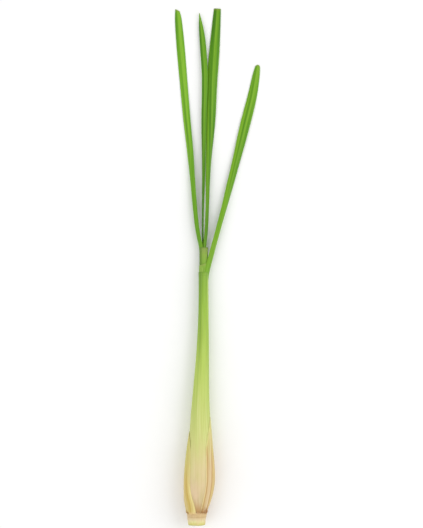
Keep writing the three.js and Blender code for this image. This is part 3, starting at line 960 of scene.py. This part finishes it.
def huskMesh(name, one):
    start, end, seed = one["start"], one["end"], one["seed"]
    ys = np.linspace(start, end, husk["rows"])
    fromAngle = tornEdge(one["front"], ys, one["fray"], seed)
    toAngle = tornEdge(one["back"], ys, one["fray"], seed + 3)
    share = np.linspace(0, 1, husk["columns"])
    degrees = fromAngle[:, None] + (toAngle - fromAngle)[:, None] * share
    angles = np.radians(degrees)
    # the foot is ragged, and lies over the stump's lip
    ragged = sum(size * roughLine(degrees, step, seed) for step, size in husk["rags"])
    flap = one["flap"] * np.exp(-(((degrees - husk["flapAt"]) / husk["flapWide"]) ** 2))
    low = 1 - smoothStep(ys, start, start + husk["footLong"])[:, None]
    y = ys[:, None] + low * (one["foot"] - flap + ragged)
    margin = np.abs(np.minimum(share, 1 - share) * (toAngle - fromAngle)[:, None])
    marginRun = np.radians(margin) * bedRadius(y)
    fromFront = np.radians(np.abs(degrees - fromAngle[:, None])) * bedRadius(y)
    flared = husk["spread"] * (1 - smoothStep(y, *husk["spreadOver"]))
    crumple = husk["crumple"] * (1 - smoothStep(y, *husk["crumpleOver"]))
    crumple = crumple * (1 + np.sin(husk["crumples"][0] * angles + husk["crumples"][1] * y))
    buckle = husk["buckle"] * np.sin(husk["buckles"][0] * angles + husk["buckles"][1] * y)
    near = np.maximum(np.exp(-((marginRun / husk["tuck"]) ** 2)),
                      smoothStep(y, end - husk["topTuck"], end))
    r = bedRadius(y) + husk["clear"] - (husk["clear"] - husk["hug"]) * near
    r = r + flared + (crumple + buckle) * smoothStep(marginRun, *husk["calmTo"])
    grid = np.stack([axisX(y) + r * np.sin(angles), y, axisZ(y) + r * np.cos(angles)], axis=2)
    half = 1 - husk["marginThin"] * np.exp(-marginRun / husk["marginWide"])
    half = husk["skin"] / 2 * half
    marks = {
        "turn": degrees / 360, "across": np.radians(degrees) * 10, "fromFront": fromFront,
        "relief": smoothStep(margin, *husk["ribsFrom"]),
    }
    return sheetMesh(name, grid, half, half, marks, 0.02)


for name, one in husks.items():
    grow(name, huskMesh(name, one), trees["ribs"], {
        "Spacing": husk["spacing"], "Height": husk["rib"] * mm,
        "Finish": finishes[one["finish"]],
    }, one["node"])

fibres = {
    "seed": 11, "length": 1.3, "thickness": 0.05, "bend": 0.3, "lowest": 1.5,
    "foot": 70, "footFrom": 9.9, "footBand": 1.6, "footRound": 150, "footLift": 0.25,
    "footLean": (-0.1, 0.25),
    "edge": 16, "edgeInset": (3, 6), "edgeLean": (0.02, 0.12),
}


def fibreSpots(draw):
    # (height, degrees round, radius, direction, lean) of every fibre that is drawn
    for _ in range(fibres["foot"]):
        degrees = float(draw.uniform(-fibres["footRound"], fibres["footRound"]))
        y = fibres["footFrom"] + float(draw.uniform(0, fibres["footBand"]))
        yield y, degrees, float(bedRadius(y)) + husk["clear"] + fibres["footLift"], -1, "footLean"
    for one in husks.values():
        for i in range(fibres["edge"]):
            y = float(draw.uniform(one["start"] + fibres["edgeInset"][0],
                                   one["end"] - fibres["edgeInset"][1]))
            degrees = float(follow(one["front"] if i % 2 else one["back"], y))
            yield y, degrees, float(bedRadius(y)) + husk["hug"], 1, "edgeLean"


def fibrePoints():
    draw = np.random.default_rng(fibres["seed"])
    points, aims = [], []
    for y, degrees, out, along, lean in fibreSpots(draw):
        spot, spoke = aroundStem(y, degrees, out)
        if spot.z < fibres["lowest"]:
            continue
        points.append(spot)
        aims.append(Vector((0, along, 0)) + spoke * float(draw.uniform(*fibres[lean])))
    return newMesh("fibreSpots", toPart(points), marks={"aim": np.array(aims)})


grow("huskFibres", fibrePoints(), trees["fibres"], {
    "Length": fibres["length"] * mm, "Thickness": fibres["thickness"] * mm,
    "Bend": fibres["bend"], "Seed": fibres["seed"], "Finish": finishes["huskFibre"],
}, "dry_sheath_left")


def growSheath(name, sheath, base, top, nodeName):
    # rings up the stem with the top edge rounded inwards, swept into a rolled sheath
    lip, (calm, calmFrom, calmTo) = sheath["lip"], sheath["calm"]
    ys = np.linspace(base, top - lip, sheath["rings"])
    flare, flareFrom, flareTo = sheath["flare"]
    reach = sheath["radius"] or bedRadius(ys)
    reach = reach + flare * smoothStep(ys, top - flareFrom, top - flareTo)
    turnIn = np.linspace(0, math.pi / 2, sheath["lipRings"])[1:]
    reach = np.concatenate([reach, reach[-1] - lip * (1 - np.cos(turnIn))])
    allYs = np.concatenate([ys, top - lip + lip * np.sin(turnIn)])
    start, full = sheath["ribsFrom"]
    ribs = smoothStep(ys, base + start, base + full)
    ribs = ribs * (1 - (1 - calm) * smoothStep(ys, top - calmFrom, top - calmTo))
    points = toPart(np.stack([axisX(allYs), allYs, axisZ(allYs)], axis=1))
    # the ring of a swept sheath starts a quarter turn on from the top
    tilt = np.radians(follow(sheath["lapAngle"], allYs) - 90)
    mesh = newMesh(name, points, edges=[(i, i + 1) for i in range(len(allYs) - 1)], marks={
        "reach": reach * mm, "lapTilt": tilt, "axisPoint": points,
        "relief": np.concatenate([ribs, calm * (1 - smoothStep(turnIn, 0, sheath["lipCalm"]))]),
    })
    grow(name, mesh, trees["sheath"], {
        "Sides": sheath["sides"], "Lap": sheath["lap"] * mm, "Ribs": sheath["ribs"],
        "Rib Height": sheath["ribHeight"] * mm, "Finish": finishes[sheath["finish"]],
    }, nodeName)


# The first leaf: its sheath is the stem, and its blade parts from it at the collar.

firstSheath = {
    "finish": "stemSkin", "sides": 256, "rings": 340, "ribs": 44.0, "ribHeight": 0.07,
    "radius": None,  # the stem's own
    "lip": 0.45, "lipRings": 9, "lipCalm": 1.2, "ribsFrom": (0, 2),
    # size, and how far below the top it starts and is full
    "flare": (0.12, 5, 1), "calm": (0.25, 18, 4),
    "lap": 0.32,  # step where the sheath's margin lies over itself
    "lapAngle": [(9.7, -30), (30, -42), (60, -48), (108, -56), (165, -60), (192.2, -62)],
}
growSheath("firstLeafSheath", firstSheath, stump["top"] + 0.05, stem["firstCollar"],
           "first_leaf")

firstBlade = {
    "finish": "firstBladeSkin",
    "green": {
        "base": paint(96, 150, 16), "light": paint(120, 170, 34), "deep": paint(68, 124, 8),
        # the last entry is how strong the painted shade towards the root is
        "paleTo": 236.0, "lowShade": 0.12,
    },
    "rows": 260, "halves": 30,  # columns in each arm
    "facing": -1,  # the hollow side at the root: -1 left, 1 right
    "skin": 0.42, "keel": 0.28, "spacing": 0.62, "rib": 0.05,
    "phase": 0.4,  # start of its waves
    "slant": 0,  # of its end
    "midrib": [
        (5.75, 184, 5.3), (6.7, 192, 5.1), (10.5, 207, 4.8), (15, 224, 4.4),
        (19.6, 242, 3.8), (23.7, 260, 3.2), (28.7, 281, 2.4), (34, 303, 1.6),
        (40, 327, 0.9), (44.3, 350.5, 0.5),
    ],
    # by share of its length: width, fold of each arm, how far out the fold goes, and the
    # twist that lays it flat
    "keys": {
        "width": [
            (0, 9), (0.05, 10.4), (0.13, 8.4), (0.22, 7), (0.3, 6.8), (0.4, 6.5),
            (0.5, 6.3), (0.58, 6.5), (0.66, 7.2), (0.74, 7.8), (0.82, 7.4), (0.9, 6.5),
            (0.95, 5.6), (0.98, 4.4), (0.99, 3.7), (0.9945, 3.1), (0.998, 2.1), (1, 0.8),
        ],
        "fold": [
            (0, 86), (0.05, 84), (0.14, 74), (0.3, 52), (0.45, 42), (0.58, 28), (0.7, 16),
            (1, 10),
        ],
        "bend": [(0, 4.8), (0.05, 4.8), (0.14, 2), (0.3, 1.8), (0.6, 2.5), (1, 2.5)],
        "twist": [(0, 0), (0.1, 4), (0.3, 45), (0.6, 84), (1, 90)],
    },
}


def growBlade(name, leaf, nodeName):
    grow(name, bladeMesh(name, leaf), trees["ribs"], {
        "Spacing": leaf["spacing"], "Height": leaf["rib"] * mm,
        "Finish": bladeSkin(leaf["finish"], leaf["green"]),
    }, nodeName)


growBlade("firstLeafBlade", firstBlade, "first_leaf")

ligule = {
    "from": 190.5, "to": 198.2, "slant": 0.9, "radius": 3.3, "spread": 0.05, "skin": 0.12,
    "rows": 24, "columns": 145, "gapAt": 176.0, "rag": 0.12, "ragStep": 14, "seed": 5,
    "pleat": 0.015, "pleats": 23,
}


def liguleMesh():
    share = np.linspace(0, 1, ligule["rows"])[:, None]
    degrees = np.linspace(-1, 1, ligule["columns"])[None, :] * ligule["gapAt"]
    angle = np.radians(degrees)
    # the torn top edge rises towards the blade
    edge = ligule["slant"] * np.sin(angle)
    edge = edge + ligule["rag"] * roughLine(degrees, ligule["ragStep"], ligule["seed"])
    y = ligule["from"] + share * (ligule["to"] + edge - ligule["from"])
    r = ligule["radius"] + ligule["pleat"] * np.sin(ligule["pleats"] * angle)
    r = r + ligule["spread"] * share
    grid = np.stack([axisX(y) + r * np.sin(angle), y, axisZ(y) + r * np.cos(angle)], axis=2)
    half = np.full(y.shape, ligule["skin"] / 2)
    return sheetMesh("firstLeafLigule", grid, half, half, {"rise": 0 * y + share})


grow("firstLeafLigule", liguleMesh(), trees["ribs"],
     {"Spacing": 1.0, "Height": 0.0, "Finish": finishes["ligule"]}, "first_leaf")


# The second leaf: a short sheath between the collars, and a blade that leans left.

secondSheath = {
    "finish": "collarSkin", "sides": 160, "rings": 60, "ribs": 26.0, "ribHeight": 0.05,
    "radius": 3.2, "lip": 0.3, "lipRings": 7, "lipCalm": 1.2,
    "flare": (0.12, 3.5, 0.5), "calm": (1, 18, 4), "ribsFrom": (-2, -1),
    "lap": 0.25, "lapAngle": [(192, 32), (211, 32)],
}
growSheath("secondLeafSheath", secondSheath, stem["firstCollar"] - 0.2, stem["secondCollar"],
           "second_leaf")

secondBlade = {
    "finish": "secondBladeSkin",
    "green": {
        "base": paint(106, 164, 28), "light": paint(130, 182, 44), "deep": paint(72, 126, 10),
        # the last entry is how strong the painted shade towards the root is
        "paleTo": 222.0, "lowShade": 0.45,
    },
    "rows": 260, "halves": 28, "facing": 1, "skin": 0.4, "keel": 0.24,
    "phase": 1.9, "spacing": 0.6, "rib": 0.05, "slant": -0.6,
    "midrib": [
        (0.1, 204, 4.7), (-0.4, 211, 4.5), (-3, 224, 4.3), (-5.2, 243, 3.9),
        (-6.7, 264, 3.2), (-8.1, 287, 2.2), (-10.4, 312, 1.3), (-12.6, 338, 0.7),
        (-14.8, 364, 0.4), (-17.3, 393.3, 0.3),
    ],
    "keys": {
        "width": [
            (0, 7), (0.05, 8.2), (0.13, 6.6), (0.3, 6.2), (0.55, 5.6), (0.8, 6.2),
            (0.9, 6), (0.96, 5), (1, 3.2),
        ],
        "fold": [(0, 86), (0.05, 84), (0.14, 72), (0.3, 50), (0.55, 18), (1, 8)],
        "bend": [(0, 3.9), (0.05, 3.8), (0.14, 1.7), (0.3, 1.8), (0.6, 2.5), (1, 2.5)],
        "twist": [(0, 0), (0.1, 4), (0.3, 45), (0.6, 84), (1, 90)],
    },
}
growBlade("secondLeafBlade", secondBlade, "second_leaf")


# The third leaf: folded at its base, then broad and cut square at its end.

thirdBlade = {
    "finish": "thirdBladeSkin",
    "green": {
        "base": paint(80, 137, 8), "light": paint(108, 160, 20), "deep": paint(54, 106, 6),
        # the last entry is how strong the painted shade towards the root is
        "paleTo": 228.0, "lowShade": 0.4,
    },
    "rows": 260, "halves": 30, "facing": -1, "skin": 0.4, "keel": 0.24,
    "phase": 3.1, "spacing": 0.6, "rib": 0.05, "slant": 0,
    "midrib": [
        (4.35, 208, 4.6), (4.5, 213, 4.4), (5.6, 224, 4.3), (6.4, 240, 4.2),
        (7.0, 258, 3.9), (7.8, 281, 3.4), (8.6, 311, 2.7), (9.6, 341, 1.9),
        (11.5, 368, 1.1), (13.3, 393.5, 0.5),
    ],
    "keys": {
        "width": [
            (0, 6), (0.14, 6), (0.3, 6.2), (0.5, 7.2), (0.72, 7.9), (0.82, 8),
            (0.9, 7), (0.95, 6.1), (1, 5.2),
        ],
        "fold": [(0, 84), (0.06, 80), (0.16, 66), (0.3, 58), (0.55, 24), (1, 10)],
        "bend": [(0, 2.6), (0.06, 2.3), (0.16, 1.6), (0.3, 1.8), (0.6, 2.5), (1, 2.5)],
        "twist": [(0, 0), (0.2, 6), (0.35, 40), (0.6, 82), (1, 90)],
    },
}
growBlade("thirdLeafBlade", thirdBlade, "third_leaf")


# The spear leaf: the youngest, narrow and pointed.

spearBlade = {
    "finish": "spearBladeSkin",
    "green": {
        "base": paint(78, 134, 10), "light": paint(102, 156, 26), "deep": paint(52, 104, 6),
        # the last entry is how strong the painted shade towards the root is
        "paleTo": 222.0, "lowShade": 0.6,
    },
    "rows": 240, "halves": 20, "facing": 1, "skin": 0.36, "keel": 0.18,
    "phase": 4.6, "spacing": 0.5, "rib": 0.04, "slant": 0,
    "midrib": [
        (2.05, 209, 4.55), (1.95, 216, 4.5), (1.8, 232, 4.75), (1.9, 254, 4.7),
        (2.3, 280, 4.5), (2.9, 311, 4.1), (3.6, 341, 3.5), (2.8, 358, 2.9),
        (1.6, 372, 2.3), (-0.5, 390, 1.6),
    ],
    "keys": {
        "width": [
            (0, 2.4), (0.08, 2.8), (0.2, 3.6), (0.4, 4.2), (0.65, 4.3), (0.84, 4.9),
            (0.93, 3.6), (1, 0.5),
        ],
        "fold": [(0, 80), (0.1, 78), (0.3, 62), (0.6, 30), (1, 12)],
        "bend": [(0, 1.1), (0.1, 1.2), (0.3, 1.5), (0.6, 2.2), (1, 2.2)],
        "twist": [(0, 0), (0.15, 8), (0.35, 45), (0.6, 78), (1, 88)],
    },
}
growBlade("spearLeafBlade", spearBlade, "spear_leaf")


# The paper floor, the lights and the camera straight above.

studio = {
    "floorSize": 4.0, "floorDrop": 0.00005, "paper": (0.94, 0.94, 0.935, 1),
    "grain": 40.0, "grainShade": 0.99, "paperGloss": (0.88, 0.94), "paperDepth": 0.02,
    "keyPower": 6.6, "keySize": 1.1, "keyAt": (1.0, 0.2, 0.85),
    "fillPower": 3.2, "fillSize": 1.2, "fillAt": (-0.8, -0.3, 0.9),
    "sky": 0.8,
    "distance": 1.8, "sensor": 36.0, "viewLength": 402.6, "centre": (-4.547, 1.5, 5.0),
}


def paperFloor():
    material, tree, shader = newFinish("paperFloor", 0.9, 0.1)
    place = node(tree, "ShaderNodeTexCoord").outputs["Object"]
    grain = speckle(tree, place, studio["grain"])
    bright = studio["paper"]
    shaded = tuple(studio["grainShade"] * c for c in bright[:3]) + (1,)
    tone = blend(tree, fade(tree, grain, 0.3, 0.7), shaded, bright)
    finishOff(tree, shader, tone, grain, studio["paperGloss"], studio["paperDepth"])
    half = studio["floorSize"] / 2
    low = -studio["floorDrop"]
    corners = [(-half, -half, low), (half, -half, low), (half, half, low), (-half, half, low)]
    floor = bpy.data.objects.new("paperFloor", newMesh("paperFloor", corners, [(0, 1, 2, 3)]))
    floor.data.materials.append(material)
    bpy.context.scene.collection.objects.link(floor)


def softBox(name, power, size, at, target):
    lamp = bpy.data.lights.new(name, "AREA")
    lamp.energy = power
    lamp.size = size
    box = bpy.data.objects.new(name, lamp)
    box.location = at
    box.rotation_euler = (Vector(target) - Vector(at)).to_track_quat("-Z", "Y").to_euler()
    bpy.context.scene.collection.objects.link(box)


def studioSky():
    world = bpy.data.worlds.new("studioSky")
    world.use_nodes = True
    backdrop = world.node_tree.nodes["Background"]
    backdrop.inputs["Color"].default_value = (1, 1, 1, 1)
    backdrop.inputs["Strength"].default_value = studio["sky"]
    bpy.context.scene.world = world


def stalkCamera():
    data = bpy.data.cameras.new("stalkCamera")
    data.sensor_width = studio["sensor"]
    data.lens = studio["sensor"] * studio["distance"] / (studio["viewLength"] * mm)
    camera = bpy.data.objects.new("stalkCamera", data)
    x, y, z = (c * mm for c in studio["centre"])
    camera.location = (x, y, z + studio["distance"])
    bpy.context.scene.collection.objects.link(camera)
    bpy.context.scene.camera = camera


paperFloor()
softBox("keyLight", studio["keyPower"], studio["keySize"], studio["keyAt"], (0, 0, 0))
softBox("fillLight", studio["fillPower"], studio["fillSize"], studio["fillAt"], (0, 0, 0))
studioSky()
stalkCamera()
bpy.context.scene.view_settings.view_transform = "Standard"
print("stalk: studio ready")

bpy.context.view_layer.update()
